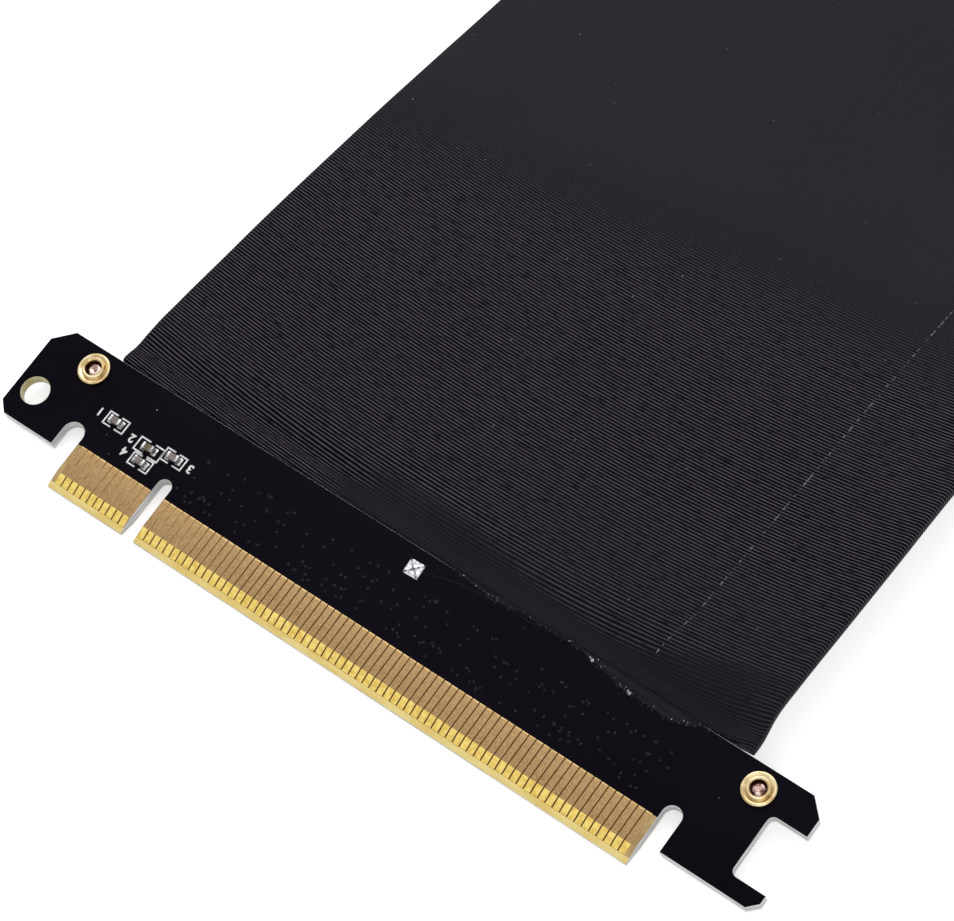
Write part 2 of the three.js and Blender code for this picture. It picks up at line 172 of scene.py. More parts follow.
# Uneven colour and roughness, with a fine relief
def mottleGroup():
    white = (1, 1, 1, 1)
    tree, nodes, given, result = newGroup(
        "mottle",
        dict(Base=white, Accent=white, Scale=100.0, Amount=0.5, Roughness=0.5, Spread=0.1, Grain=800.0,
             Stretch=(1, 1, 1)),
        dict(Color="Color", Roughness="Float", Height="Float"))
    stretched = nodes.add("ShaderNodeVectorMath", {"operation": "MULTIPLY"})
    nodes.feed(stretched, nodes.objectPlace(), given["Stretch"])
    place = stretched.outputs[0]
    share = nodes.smooth(nodes.noise(place, given["Scale"], 4.0), 0.35, 0.65)
    swing = nodes.times(nodes.math("SUBTRACT", share, 0.5), given["Spread"])
    nodes.feed(result, Color=nodes.mix(nodes.times(share, given["Amount"]), given["Base"], given["Accent"]),
               Roughness=nodes.math("ADD", given["Roughness"], swing),
               Height=nodes.noise(place, given["Grain"], 2.0))
    return tree


# Sparse pale specks of dust and fibre
def speckGroup():
    tree, nodes, given, result = newGroup(
        "specks", dict(Under=(0, 0, 0, 1), Speck=(1, 1, 1, 1), Scale=300.0, Share=0.1), dict(Color="Color"))
    cells = nodes.add("ShaderNodeTexVoronoi", Vector=nodes.objectPlace(), Scale=given["Scale"])
    chosen = nodes.add("ShaderNodeSeparateColor", Color=cells.outputs["Color"])
    rare = nodes.math("LESS_THAN", chosen.outputs[0], given["Share"])
    near = nodes.math("LESS_THAN", cells.outputs["Distance"], 0.1)
    bright = nodes.times(chosen.outputs[1], nodes.times(rare, near))
    nodes.feed(result, Color=nodes.mix(bright, given["Under"], given["Speck"]))
    return tree


mottle, specks = mottleGroup(), speckGroup()


def shown(*color):
    # A colour given as it shows on screen, 0 to 255
    return (*(c / 255 / 12.92 if c <= 10 else ((c / 255 + 0.055) / 1.055) ** 2.4 for c in color), 1)


def startMaterial(name):
    # A new material, its nodes and its shader
    material = bpy.data.materials.new(name)
    material.use_nodes = True
    return material, Nodes(material.node_tree), material.node_tree.nodes["Principled BSDF"]


def newMaterial(name, base, accent, scale, rough, spread=0.1, grain=900, stretch=(1, 1, 1), bump=0.1,
                relief=0.02, metal=0.0, specular=0.5, speck=None):
    material, nodes, shader = startMaterial(name)
    group = nodes.place(mottle, Base=shown(*base), Accent=shown(*accent), Scale=scale, Amount=1,
                        Roughness=rough, Spread=spread, Grain=grain, Stretch=stretch)
    color = group["Color"]
    if speck:
        color = nodes.place(specks, Under=color, **speck)["Color"]
    raised = nodes.add("ShaderNodeBump", Height=group["Height"], Strength=bump, Distance=relief * mm)
    nodes.feed(shader, Base_Color=color, Roughness=group["Roughness"], Normal=raised.outputs["Normal"],
               Metallic=metal, Specular_IOR_Level=specular)
    return material


finishes = {
    # shown colour, colour of the mottling, scale of the mottling, roughness, and what else differs
    "mask": ((7, 3, 13), (11, 7, 18), 60, 0.3, dict(
        grain=1500, bump=0.12, specular=0.03, speck=dict(Speck=shown(90, 90, 98), Scale=1100, Share=0.012))),
    "via": ((38, 39, 49), (16, 16, 20), 2500, 0.3, dict(bump=0.3, specular=0.1)),
    "laminate": ((240, 240, 240), (206, 206, 204), 900, 0.6, dict(
        stretch=(0.25, 0.25, 3), bump=0.3, specular=0.3)),
    "bevel": ((252, 230, 152), (240, 210, 120), 420, 0.5, dict(bump=0.25, specular=0.4, stretch=(0.5, 2, 2))),
    "margin": ((176, 146, 96), (200, 172, 118), 500, 0.5, dict(bump=0.2, specular=0.3)),
    "holeWall": ((236, 230, 196), (206, 196, 150), 600, 0.6, {}),
    # Bare laminate between the fingers in three tones: paler on the left as painted highlight, darkest on the
    # right and on the bevel as painted shade between the fingers
    "gapLit": ((206, 178, 130), (160, 128, 84), 700, 0.7, {}),
    "gapHalfLit": ((150, 118, 74), (112, 82, 46), 700, 0.7, {}),
    "gapShade": ((104, 72, 36), (84, 56, 26), 700, 0.7, dict(specular=0.1)),
    "gold": ((148, 119, 81), (168, 138, 98), 3200, 0.42, dict(
        spread=0.15, stretch=(1.6, 1, 1), grain=3600, bump=0.4, metal=1)),
    # The next two golds are lit copies of gold: painted highlight on the fingers' edges, painted reflection
    # on their part on the bevel
    "goldEdgeHighlight": ((214, 186, 134), (190, 158, 104), 900, 0.35, dict(metal=1)),
    "goldTipHighlight": ((238, 212, 122), (214, 182, 92), 1600, 0.4, dict(bump=0.4, metal=1)),
    "brass": ((186, 160, 112), (226, 208, 168), 600, 0.24, dict(spread=0.12, bump=0.3, metal=1)),
    # Brass darkened to brown as painted shade inside the nuts' bores
    "boreShade": ((92, 58, 28), (58, 34, 18), 900, 0.4, dict(stretch=(0.5, 0.5, 6), bump=0.6, metal=1)),
    "steel": ((186, 180, 180), (140, 132, 132), 700, 0.3, dict(stretch=(0.4, 3, 1), bump=0.25, metal=1)),
    # Steel painted dark brown as shade deep in the bore, with pale specks as painted glints
    "screwTipShadeAndGlints": ((88, 58, 44), (216, 186, 176), 1700, 0.25, dict(bump=0.8, relief=0.05, metal=1)),
    "tin": ((226, 226, 228), (150, 150, 156), 900, 0.22, dict(spread=0.2, bump=0.5, metal=1)),
    "tinShade": ((70, 70, 76), (176, 176, 182), 2600, 0.3, dict(bump=0.8, metal=1)),
    "solder": ((128, 126, 128), (212, 210, 212), 2200, 0.3, dict(bump=0.6, metal=1)),
    "greyChip": ((140, 128, 124), (112, 102, 98), 1500, 0.55, {}),
    "oliveChip": ((112, 104, 74), (88, 80, 58), 1500, 0.5, {}),
    "silk": ((252, 252, 252), (226, 226, 226), 1600, 0.7, dict(bump=0.3, specular=0.2)),
    "sealant": ((17, 16, 20), (24, 23, 28), 500, 0.45, dict(
        grain=700, bump=0.5, relief=0.06, specular=0.08)),
    "lapCloth": ((30, 28, 34), (20, 19, 24), 1400, 0.55, dict(
        stretch=(0.12, 1, 1), grain=2400, bump=0.5, specular=0.08)),
    "fray": ((98, 96, 104), (36, 35, 40), 2600, 0.5, dict(specular=0.15)),
    "flecks": ((205, 205, 210), (120, 120, 126), 1500, 0.4, {}),
    "plastic": ((20, 20, 22), (26, 26, 28), 90, 0.5, dict(
        grain=3200, bump=0.25, specular=0.3, speck=dict(Speck=shown(110, 110, 112), Scale=350, Share=0.01))),
    "foam": ((24, 24, 25), (36, 36, 38), 1100, 0.95, dict(grain=2400, bump=0.9, relief=0.1, specular=0.15)),
    "ribbon": ((52, 52, 55), (66, 66, 70), 300, 0.5, dict(stretch=(4, 0.2, 1))),
}
looks = {name: newMaterial(name, *values, **more) for name, (*values, more) in finishes.items()}


# Mesh tools. Every piece is modelled in its board's millimetres and placed at the end.
def link(piece):
    bpy.context.scene.collection.objects.link(piece)
    return piece


def asObject(bm, name, materials=()):
    mesh = bpy.data.meshes.new(name)
    bm.to_mesh(mesh)
    bm.free()
    for material in materials:
        mesh.materials.append(looks.get(material, material))
    return link(bpy.data.objects.new(name, mesh))


def finishPiece(bm, name, place, materials, node=None, sharp=35):
    bmesh.ops.transform(bm, matrix=place, verts=bm.verts)
    piece = asObject(bm, name, materials)
    piece.data.polygons.foreach_set("use_smooth", [True] * len(piece.data.polygons))
    piece.data.set_sharp_from_angle(angle=math.radians(sharp))
    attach(piece, body)
    if node:
        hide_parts(node)
    return piece


def finishNode(bm, node, place, materials, sharp=35):
    # A finer piece in the place of a CAD node
    return finishPiece(bm, node + "_fine", place, materials, node, sharp)


def ofKind(result, kind, key="geom"):
    return [item for item in result[key] if isinstance(item, kind)]


def shift(bm, move, verts=None):
    bmesh.ops.translate(bm, vec=move, verts=verts or bm.verts)


def turn(bm, angle, axis):
    bmesh.ops.rotate(bm, matrix=Matrix.Rotation(angle, 3, axis), verts=bm.verts)


def outward(bm):
    bmesh.ops.recalc_face_normals(bm, faces=bm.faces)
    return bm


def pull(bm, faces, move):
    # Pulls faces out; the faces at their new end
    grown = bmesh.ops.extrude_face_region(bm, geom=faces)
    shift(bm, move, ofKind(grown, BMVert))
    return ofKind(grown, BMFace)


def booleanCut(bm, cutter):
    # Takes one closed mesh out of another
    target, tool = asObject(bm, "target"), asObject(cutter, "tool")
    modifier = target.modifiers.new("cut", "BOOLEAN")
    modifier.object, modifier.operation, modifier.solver = tool, "DIFFERENCE", "EXACT"
    result = bmesh.new()
    result.from_object(target, bpy.context.evaluated_depsgraph_get())
    for used in (target, tool):
        bpy.data.meshes.remove(used.data)
    return result


def append(bm, other, move=None):
    # Joins another bmesh into this one, shifted
    if move is not None:
        shift(other, move)
    mesh = bpy.data.meshes.new("joined")
    other.to_mesh(mesh)
    other.free()
    bm.from_mesh(mesh)
    bpy.data.meshes.remove(mesh)


def boxOf(low, high):
    bm = bmesh.new()
    bmesh.ops.create_cube(bm, size=1)
    bmesh.ops.scale(bm, vec=[b - a for a, b in zip(low, high)], verts=bm.verts)
    shift(bm, [(a + b) / 2 for a, b in zip(low, high)])
    return bm


def bevelEdges(bm, edges, offset, segments=1, material=-1):
    return bmesh.ops.bevel(bm, geom=list(edges), offset=offset, segments=segments, profile=0.5,
                           affect="EDGES", material=material)


def breakEdges(bm, offset, segments=1):
    # A chamfer or rounding round both faces of a plate
    bm.normal_update()
    rims = [e for e in bm.edges if len(e.link_faces) == 2
            and any(abs(f.normal.z) > 0.9 for f in e.link_faces)
            and any(abs(f.normal.z) < 0.5 for f in e.link_faces)]
    bevelEdges(bm, rims, offset, segments)
    bm.normal_update()


def rectangle(left, low, right, high, corner):
    return [(left, low, corner), (right, low, corner), (right, high, corner), (left, high, corner)]


def plateOf(corners, low, high, segments=8):
    # An outline of (u, v, corner radius) as one face, its corners rounded, pulled up to a plate
    bm = bmesh.new()
    ring = [bm.verts.new((u, v, low)) for u, v, _ in corners]
    bm.faces.new(ring)
    for vert, (_, _, radius) in zip(ring, corners):
        if radius:
            bmesh.ops.bevel(bm, geom=[vert], offset=radius, segments=segments, profile=0.5,
                            affect="VERTICES", material=-1)
    pull(bm, bm.faces[:], (0, 0, high - low))
    return outward(bm)


def barAlong(profile, low, high):
    # A profile of (v, w) pulled along u
    bm = bmesh.new()
    face = bm.faces.new([bm.verts.new((low, v, w)) for v, w in profile])
    pull(bm, [face], (high - low, 0, 0))
    return outward(bm)


def turnedPiece(profile, steps=48):
    # A closed profile of (radius, height) spun about the vertical axis
    bm = bmesh.new()
    verts = [bm.verts.new((radius, 0, height)) for radius, height in profile]
    edges = [bm.edges.new((a, b)) for a, b in zip(verts, verts[1:] + verts[:1])
             if not (a.co.x == 0 and b.co.x == 0)]
    bmesh.ops.spin(bm, geom=verts + edges, cent=(0, 0, 0), axis=(0, 0, 1), dvec=(0, 0, 0),
                   angle=math.tau, steps=steps, use_merge=True)
    bmesh.ops.remove_doubles(bm, verts=bm.verts, dist=0.0005)
    return outward(bm)


def splitAt(bm, point, normal, clear=False):
    # Cuts at a plane; clear takes off what lies on the normal's side and closes the cut
    cut = bmesh.ops.bisect_plane(bm, geom=bm.verts[:] + bm.edges[:] + bm.faces[:], dist=0.0001,
                                 plane_co=point, plane_no=normal, clear_outer=clear)
    if clear:
        bmesh.ops.holes_fill(bm, edges=ofKind(cut, BMEdge, "geom_cut"), sides=0)


def addHole(holes, u, v, radius):
    # The cutter of a round hole through a board
    tool = bmesh.new()
    bmesh.ops.create_cone(tool, cap_ends=True, segments=48, radius1=radius, radius2=radius, depth=6)
    append(holes, tool, (u, v, -1))


def drilled(bm, spots, nutMove, edgeBreak):
    # A board with round holes of (u, v, radius), its nuts' holes and broken edges
    holes = bmesh.new()
    for spot in spots:
        addHole(holes, *spot)
    for u, v in nutSpots.values():
        addHole(holes, u + nutMove[0], v + nutMove[1], card["nutHole"])
    bm = booleanCut(bm, holes)
    bmesh.ops.dissolve_limit(bm, angle_limit=math.radians(0.5), verts=bm.verts, edges=bm.edges)
    breakEdges(bm, edgeBreak)
    return bm


def ripple(x, y, z):
    return noise.noise(Vector((x, y, z)))


# Printed board with the card edge
def cardOutline():
    c = card
    long = c["shortWidth"] + c["keyWidth"]
    right = c["length"] + c["rightRelief"]
    end = c["length"] + c["rightEnd"]
    inner = end - c["notchDepth"]
    low, high = c["notchSpan"]
    foot, top = c["rightChamfers"]
    leftTop, leftFoot = c["leftChamfers"]
    almost = 0.499  # of a relief's width, so that its two rounded corners leave a short edge
    key, wide, slim = (almost * w for w in (c["keyWidth"], c["leftRelief"], c["rightRelief"]))
    return [
        (0, 0, 0), (c["shortWidth"], 0, 0),
        (c["shortWidth"], c["reliefTop"], key), (long, c["reliefTop"], key), (long, 0, 0),
        (c["length"], 0, 0), (c["length"], c["reliefTop"], slim), (right, c["reliefTop"], slim),
        (right, c["rightFoot"], 0), (end - foot, c["rightFoot"], 0), (end, c["rightFoot"] + foot, 0),
        (end, low, 0), (inner, low, c["notchCorner"]), (inner, high, c["notchCorner"]),
        (end, high, 0), (end, c["depth"] - top, 0), (end - top, c["depth"], 0),
        (leftTop - c["leftEnd"], c["depth"], 0), (-c["leftEnd"], c["depth"] - leftTop, 0),
        (-c["leftEnd"], c["leftFoot"] + leftFoot, 0), (leftFoot - c["leftEnd"], c["leftFoot"], 0),
        (-c["leftRelief"], c["leftFoot"], 0), (-c["leftRelief"], c["reliefTop"], wide),
        (0, c["reliefTop"], wide),
    ]


def contactRows():
    # Each group's name and where its contacts are
    for name, (count, first) in fingers["groups"].items():
        yield name, [first + i * fingers["pitch"] for i in range(count)]


def cardBoard():
    thick, length, depth = card["thickness"], card["bevelLength"], card["bevelDepth"]
    bm = plateOf(cardOutline(), -thick, 0)
    splitAt(bm, (0, length, 0), (0, -depth, length), clear=True)
    splitAt(bm, (0, length, -thick), (0, -depth, -length), clear=True)
    bm = drilled(bm, [card["plainHole"]], (card["middle"], card["depth"]), card["edgeBreak"])
    splitAt(bm, (0, fingers["maskEdge"], 0), (0, 1, 0))
    splitAt(bm, (0, fingers["tip"], 0), (0, 1, 0))
    half = fingers["width"] / 2
    spans = [(places[0] - half, places[-1] + half) for _, places in contactRows()]
    for edge in (*spans[0], *spans[1], *card["litGaps"]):
        splitAt(bm, (edge, 0, 0), (1, 0, 0))
    bm.normal_update()
    mask, side, bevel, margin, gapShade, wall, gapLit, gapHalfLit = range(8)
    u, v, radius = card["plainHole"]
    litEnd, halfLitEnd = card["litGaps"]
    for face in bm.faces:
        middle = face.calc_center_median()
        if abs(face.normal.z) < 0.9:
            inHole = (middle.xy - Vector((u, v))).length < radius + 0.1
            face.material_index = wall if inHole else side
        elif not (0 < middle.x < card["length"] and middle.y < fingers["maskEdge"]):
            face.material_index = mask
        elif middle.y < fingers["tip"]:
            face.material_index = bevel
        elif not any(low < middle.x < high for low, high in spans):
            face.material_index = margin
        # Gaps: darkest as painted shade on the bevel and to the right, paler as painted highlight on the left
        elif middle.y < length or middle.x > halfLitEnd:
            face.material_index = gapShade
        else:
            face.material_index = gapLit if middle.x < litEnd else gapHalfLit
    finishNode(bm, "edge_board", cardToWorld,
               ["mask", "laminate", "bevel", "margin", "gapShade", "holeWall", "gapLit", "gapHalfLit"])


# One gold finger that runs over the bevel, its long edges broken. Its edges and side walls take a paler gold
# as painted highlight, and its part on the bevel a brighter gold as painted reflection of light from the
# front
def goldFinger():
    slope = card["bevelDepth"] / card["bevelLength"]
    bend, tip, high, thin = card["bevelLength"], fingers["tip"], fingers["height"], fingers["plate"]
    low, end, half = -slope * (bend - tip), fingers["maskEdge"], fingers["width"] / 2
    bm = barAlong([(tip, low - 0.02), (tip + 0.03, low + thin), (bend, high), (end - 0.12, high),
                   (end + 0.05, 0.01), (end + 0.05, -0.02), (bend, -0.02)], -half, half)
    raised = [v for v in bm.verts if v.co.z + slope * max(bend - v.co.y, 0) > 0.03]
    long = [e for e in bm.edges if abs(e.verts[0].co.x - e.verts[1].co.x) < 0.01
            and all(v in raised for v in e.verts)]
    bevelEdges(bm, long, fingers["edge"], material=1)
    bm.normal_update()
    for face in bm.faces:
        # Painted light: the edges and side walls take the paler gold, the part on the bevel the brighter gold
        if face.normal.y > 0.3 or abs(face.normal.x) > 0.3:
            face.material_index = 1
        elif face.calc_center_median().y < bend:
            face.material_index = 2
    return bm


def goldFingers():
    for face in ("top", "bottom"):
        for group, places in contactRows():
            bm = bmesh.new()
            for u in places:
                append(bm, goldFinger(), (u, 0, 0))
            if face == "bottom":
                flip = Matrix.Translation((0, 0, -card["thickness"])) @ Matrix.Scale(-1, 4, (0, 0, 1))
                bmesh.ops.transform(bm, matrix=flip, verts=bm.verts)
                bmesh.ops.reverse_faces(bm, faces=bm.faces)
            finishPiece(bm, f"edge_fingers_{face}_{group}", cardToWorld, ["gold", "goldEdgeHighlight", "goldTipHighlight"],
                        f"edge_contacts_{face}_{group}", 20)


# Covered vias: low bumps under the mask
vias = {"count": 190, "radius": 0.18, "height": 0.035, "dimple": 0.08, "rows": (7.6, 8.7, 10.4, 11.6, 13.1)}


def viaBumps():
    bm = bmesh.new()
    radius = vias["radius"]
    profile = [(0, 0.006), (vias["dimple"], 0.012), (radius * 0.6, vias["height"]), (radius, 0.002),
               (radius, -0.02), (0, -0.02)]
    for _ in range(vias["count"]):
        u = random.uniform(14, card["length"] - 2)
        v = random.choice(vias["rows"]) + random.gauss(0, 0.22)
        append(bm, turnedPiece(profile, 12), (u, v, 0))
    finishPiece(bm, "edge_via_bumps", cardToWorld, ["via"], sharp=80)


# Brass nut, screw and clamp bar, at either end of the cable
nutProfile = [
    (0.98, -1.5), (1.5, -1.5), (1.5, 0.0), (2.03, 0.0), (2.08, 0.06), (2.08, 0.3), (2.02, 0.42),
    (1.9, 0.49), (1.76, 0.47), (1.62, 0.4), (1.5, 0.38), (1.44, 0.44), (1.42, 0.68), (1.36, 0.77),
    (1.26, 0.8), (1.16, 0.79), (1.06, 0.72), (0.98, 0.6),
]
screwSize = {"radius": 0.84, "tip": 0.2, "head": 1.9, "headHeight": 1.2, "barTop": -1.67, "bar": 1.2,
             "barWidth": 5.2, "pitch": 0.35, "thread": 0.12, "crossLength": 2.3, "crossWidth": 0.42,
             "crossDepth": 0.75}


def brassNuts(end, place):
    for side, (u, v) in nutSpots.items():
        bm = turnedPiece(nutProfile)
        for face in bm.faces:
            middle = face.calc_center_median()
            # The inner faces of the bore take the darkened brass as painted shade in the recess
            face.material_index = int(middle.xy.length < 1.03 and middle.z < 0.62)
        shift(bm, (u, v, 0))
        finishNode(bm, f"{end}_nut_{side}", place, ["brass", "boreShade"], 50)


def clampScrews(end, place):
    s = screwSize
    tip, radius, head = s["tip"], s["radius"], s["head"]
    under = s["barTop"] - s["bar"]
    bottom = under - s["headHeight"]
    profile = [(0, tip - 0.14), (0.3, tip - 0.1), (0.42, tip), (radius - 0.25, tip)]
    height = tip - 0.1
    while height > under + s["pitch"]:
        profile += [(radius, height), (radius - s["thread"], height - s["pitch"] / 2)]
        height -= s["pitch"]
    profile += [(radius, under), (head - 0.05, under), (head, under - 0.08), (head - 0.03, bottom + 0.5),
                (head - 0.25, bottom + 0.16), (head - 0.7, bottom + 0.02), (0, bottom)]
    arm, half = s["crossLength"] / 2, s["crossWidth"] / 2
    for side, (u, v) in nutSpots.items():
        bm = turnedPiece(profile)
        for x, y in ((arm, half), (half, arm)):
            cross = boxOf((-x, -y, bottom - 0.5), (x, y, bottom + s["crossDepth"]))
            bmesh.ops.scale(cross, vec=(0.6, 0.6, 1), verts=[v for v in cross.verts if v.co.z > bottom])
            bm = booleanCut(bm, cross)
        for face in bm.faces:
            # The shank and tip above the bar take the steel painted with shade and glints
            face.material_index = int(face.calc_center_median().z > under + 0.2)
        shift(bm, (u, v, 0))
        finishNode(bm, f"{end}_screw_{side}", place, ["steel", "screwTipShadeAndGlints"], 40)


def clampBar(end, place):
    wide, (reach, row) = screwSize["barWidth"], nutSpots["right"]
    reach, half, top = reach + wide / 2, wide / 2, screwSize["barTop"] + 0.05
    corners = rectangle(-reach, row - half, reach, row + half, wide * 0.499)
    bm = plateOf(corners, top - screwSize["bar"], top, segments=16)
    breakEdges(bm, 0.2, 3)
    finishNode(bm, f"{end}_clamp_bar", place, ["steel"])


# Chip capacitors with their solder, printed frames and numbers
chip = {"length": 1.6, "width": 0.85, "height": 0.8, "cap": 0.38, "base": 0.04, "round": 0.07,
        "padReach": 0.32, "padHeight": 0.05}
chipSpots = {
    "edge": [(2.27, 10.92, "greyChip"), (7.98, 10.29, "oliveChip"), (11.35, 10.93, "greyChip"),
             (8.14, 8.37, "greyChip")],
    "slot": [((i - 1.5) * 16, -6.4, "greyChip") for i in range(4)],
}


def chipBlock():
    half, wide, cap = chip["length"] / 2, chip["width"] / 2, chip["cap"]
    low, high, reach = chip["base"], chip["base"] + chip["height"], chip["padReach"]
    bm = boxOf((cap - half, 0.03 - wide, low + 0.03), (half - cap, wide - 0.03, high - 0.03))
    for side in (-1, 1):
        start, end = sorted((side * half, side * (half - cap)))
        metal = boxOf((start, -wide, low), (end, wide, high))
        bevelEdges(metal, metal.edges, chip["round"], 2)
        append(bm, metal)
        pad = boxOf((-reach, -wide - 0.08, -0.02), (reach, wide + 0.08, chip["padHeight"]))
        bevelEdges(pad, [e for e in pad.edges if min(v.co.z for v in e.verts) > 0], 0.03, 2)
        append(bm, pad, (side * half, 0, 0))
        fillet = barAlong([(0, 0.02), (0.26, 0.02), (0.12, 0.1), (0.04, 0.24), (0, 0.45)], -wide, wide)
        bmesh.ops.scale(fillet, vec=(0.92, 1, 1), verts=fillet.verts)
        turn(fillet, -side * math.pi / 2, "Z")
        append(bm, fillet, (side * (half - 0.02), 0, 0))
    for face in bm.faces:
        face.material_index = int(abs(face.calc_center_median().x) > half - cap - 0.01)
    return bm


def chipCapacitors(end, place):
    for i, (u, v, tone) in enumerate(chipSpots[end], 1):
        bm = chipBlock()
        turn(bm, random.uniform(-0.06, 0.06), "Z")
        shift(bm, (u, v, 0))
        finishNode(bm, f"{end}_capacitor_{i}", place, [tone, "solder"])


silk = {"line": 0.2, "height": 0.025, "letter": 1.55, "heavier": 0.045}
chipFrames = {
    # left, right, low, high of each printed frame, and the place of its number
    "edge": [(0.76, 3.78, 10.05, 11.75, -0.35, 11.05), (6.17, 9.8, 9.4, 11.17, 5.23, 10.35),
             (9.84, 12.87, 10.1, 11.74, 13.85, 10.97), (6.68, 9.6, 7.57, 9.17, 5.5, 8.5)],
    "slot": [(u - 1.5, u + 1.5, v - 0.85, v + 0.85, u - 2.6, v) for u, v, _ in chipSpots["slot"]],
}


def numberMesh(text):
    # A plain number as a flat mesh, read from the cable's side
    curve = bpy.data.curves.new("number", "FONT")
    curve.body, curve.size, curve.align_x, curve.align_y = text, silk["letter"], "CENTER", "CENTER"
    curve.offset, curve.extrude = silk["heavier"], silk["height"] / 2
    thing = link(bpy.data.objects.new("number", curve))
    mesh = bpy.data.meshes.new_from_object(thing.evaluated_get(bpy.context.evaluated_depsgraph_get()))
    bm = bmesh.new()
    bm.from_mesh(mesh)
    bpy.data.objects.remove(thing)
    bpy.data.curves.remove(curve)
    bpy.data.meshes.remove(mesh)
    turn(bm, math.pi, "Z")
    return bm


def silkPrint(end, place):
    bm = bmesh.new()
    half, high = silk["line"] / 2, silk["height"]
    for number, (left, right, low, top, labelU, labelV) in enumerate(chipFrames[end], 1):
        arm = (right - left) * 0.4
        for edge, inner in ((left, left + arm), (right, right - arm)):
            append(bm, boxOf((edge - half, low - half, -0.01), (edge + half, top + half, high)))
            start, stop = sorted((edge, inner))
            for level in (low, top):
                append(bm, boxOf((start, level - half, -0.01), (stop, level + half, high)))
        append(bm, numberMesh(str(number)), (labelU, labelV, high / 2))
    finishPiece(bm, f"{end}_printed_frames", place, ["silk"])


def testPad():
    # Solder that was smeared over a square pad
    pad = {"u": 44.4, "v": 15.2, "width": 2.05, "length": 1.95, "height": 0.09, "steps": 15}
    bm = bmesh.new()
    bmesh.ops.create_grid(bm, x_segments=pad["steps"], y_segments=pad["steps"], size=0.5)
    for vert in bm.verts:
        x, y = vert.co.xy
        rim = max(abs(x), abs(y)) > 0.49
        cross = math.exp(-((abs(x) - abs(y)) / 0.07) ** 2)
        vert.co.z = 0.03 if rim else pad["height"] + 0.05 * cross + 0.07 * ripple(x * 5, y * 5, 3)
        vert.co.x = x * pad["width"] + 0.03 * ripple(y * 9, 1, 1)
        vert.co.y = y * pad["length"] + 0.03 * ripple(x * 9, 5, 1)
    shell = bmesh.ops.extrude_edge_only(bm, edges=[e for e in bm.edges if e.is_boundary])
    for vert in ofKind(shell, BMVert):
        vert.co.z = -0.02
    bmesh.ops.holes_fill(bm, edges=[e for e in bm.edges if e.is_boundary], sides=0)
    for face in outward(bm).faces:
        x, y = (abs(c) for c in face.calc_center_median().xy)
        face.material_index = int(abs(x / pad["width"] - y / pad["length"]) < 0.075)
    turn(bm, 0.04, "Z")
    shift(bm, (pad["u"], pad["v"], 0))
    finishNode(bm, "edge_test_pad", cardToWorld, ["tin", "tinShade"], 12)


print("materials ready")
cardBoard()
goldFingers()
viaBumps()
testPad()
print("card-edge board built")
for end, place in cableEnds.items():
    brassNuts(end, place)
    clampScrews(end, place)
    clampBar(end, place)
for end, place in (("edge", cardToWorld), ("slot", cableEnds["slot"])):
    chipCapacitors(end, place)
    silkPrint(end, place)
print("fixings and capacitors built")

# Flat cable. x is across it and y along it from its start, in millimetres.
cable = {
    "width": 91.2, "thickness": 2.4, "corner": 0.7, "start": 18.6, "end": 0.9, "over": 0.75,
    "cornerGap": 0.35, "ribPitch": 0.43, "rowsPerRib": 4, "ribHeight": 0.04, "topColumns": 22,
    "underColumns": 6, "bow": (10.9, 10.9, 1.2), "unbow": (85, 190), "crease": 31.3, "creaseWidth": 0.14,
    "creaseDepth": 0.07, "creaseStart": 2.3, "creaseDrift": 1.3, "flare": (1.0, 4.5),
    # Underside of the left and right edges above the surface, by the distance from the card edge's tip
    "lift": [(22, 4.6, 5.2), (27, 4.8, 5.8), (35, 4.6, 5.9), (44, 4.4, 6), (54, 3.9, 6.3), (66, 3.1, 6.2),
             (78, 2, 5.6), (92, 0.7, 4.4), (106, 0.1, 3), (120, 0.1, 1.6), (136, 0.1, 0.4), (152, 0.1, 0.1)],
    # The same before the slot's board, by the distance still to go
    "liftAtSlot": [(22, 0.1, 0.1), (11, 0.6, 0.6), (4, 1.7, 1.7)],
}


def cableStations():
    # (y in the frame, left and right middle heights), all in millimetres
    half, mid = cable["thickness"] / 2, -card["thickness"] / 2
    first, second = (cardToWorld @ Vector((0, cable["start"] + d, mid)) / mm for d in (0, half))
    tip = cardToWorld.translation.y / mm
    low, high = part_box("slot_board")
    last, level = low[1] / mm - cable["end"], high[2] / mm + mid
    return [(first.y, first.z, first.z), (second.y, second.z, second.z),
            *((tip + y, left + half, right + half) for y, left, right in cable["lift"]),
            *((last - togo, left + half, right + half) for togo, left, right in cable["liftAtSlot"]),
            (last - half / 2, level, level), (last, level, level)]


stations = cableStations()
cableStart, cableEnd = stations[0][0], stations[-1][0]
cableLength = cableEnd - cableStart


def slopes(side):
    steps = [(b[side] - a[side]) / (b[0] - a[0]) for a, b in zip(stations, stations[1:])]
    return [steps[0], *((a + b) / 2 for a, b in zip(steps, steps[1:])), steps[-1]]


stationSlopes = {1: slopes(1), 2: slopes(2)}


def heightAt(y, side):
    # Height and slope of the cable's left (1) or right (2) edge, on a smooth curve through the stations
    i = max(k for k in range(len(stations) - 1) if stations[k][0] <= y or k == 0)
    a, b = stations[i], stations[i + 1]
    span = b[0] - a[0]
    t = min(max((y - a[0]) / span, 0), 1)
    m, n = (slope * span for slope in stationSlopes[side][i:i + 2])
    value = ((2 * t**3 - 3 * t**2 + 1) * a[side] + (t**3 - 2 * t**2 + t) * m
             + (3 * t**2 - 2 * t**3) * b[side] + (t**3 - t**2) * n)
    rise = (6 * t**2 - 6 * t) * (a[side] - b[side]) + (3 * t**2 - 4 * t + 1) * m + (3 * t**2 - 2 * t) * n
    return value, rise / span


routeStep = 0.25
routeTable = [[heightAt(cableStart + i * routeStep, side) for side in (1, 2)]
              for i in range(int(cableLength / routeStep) + 2)]


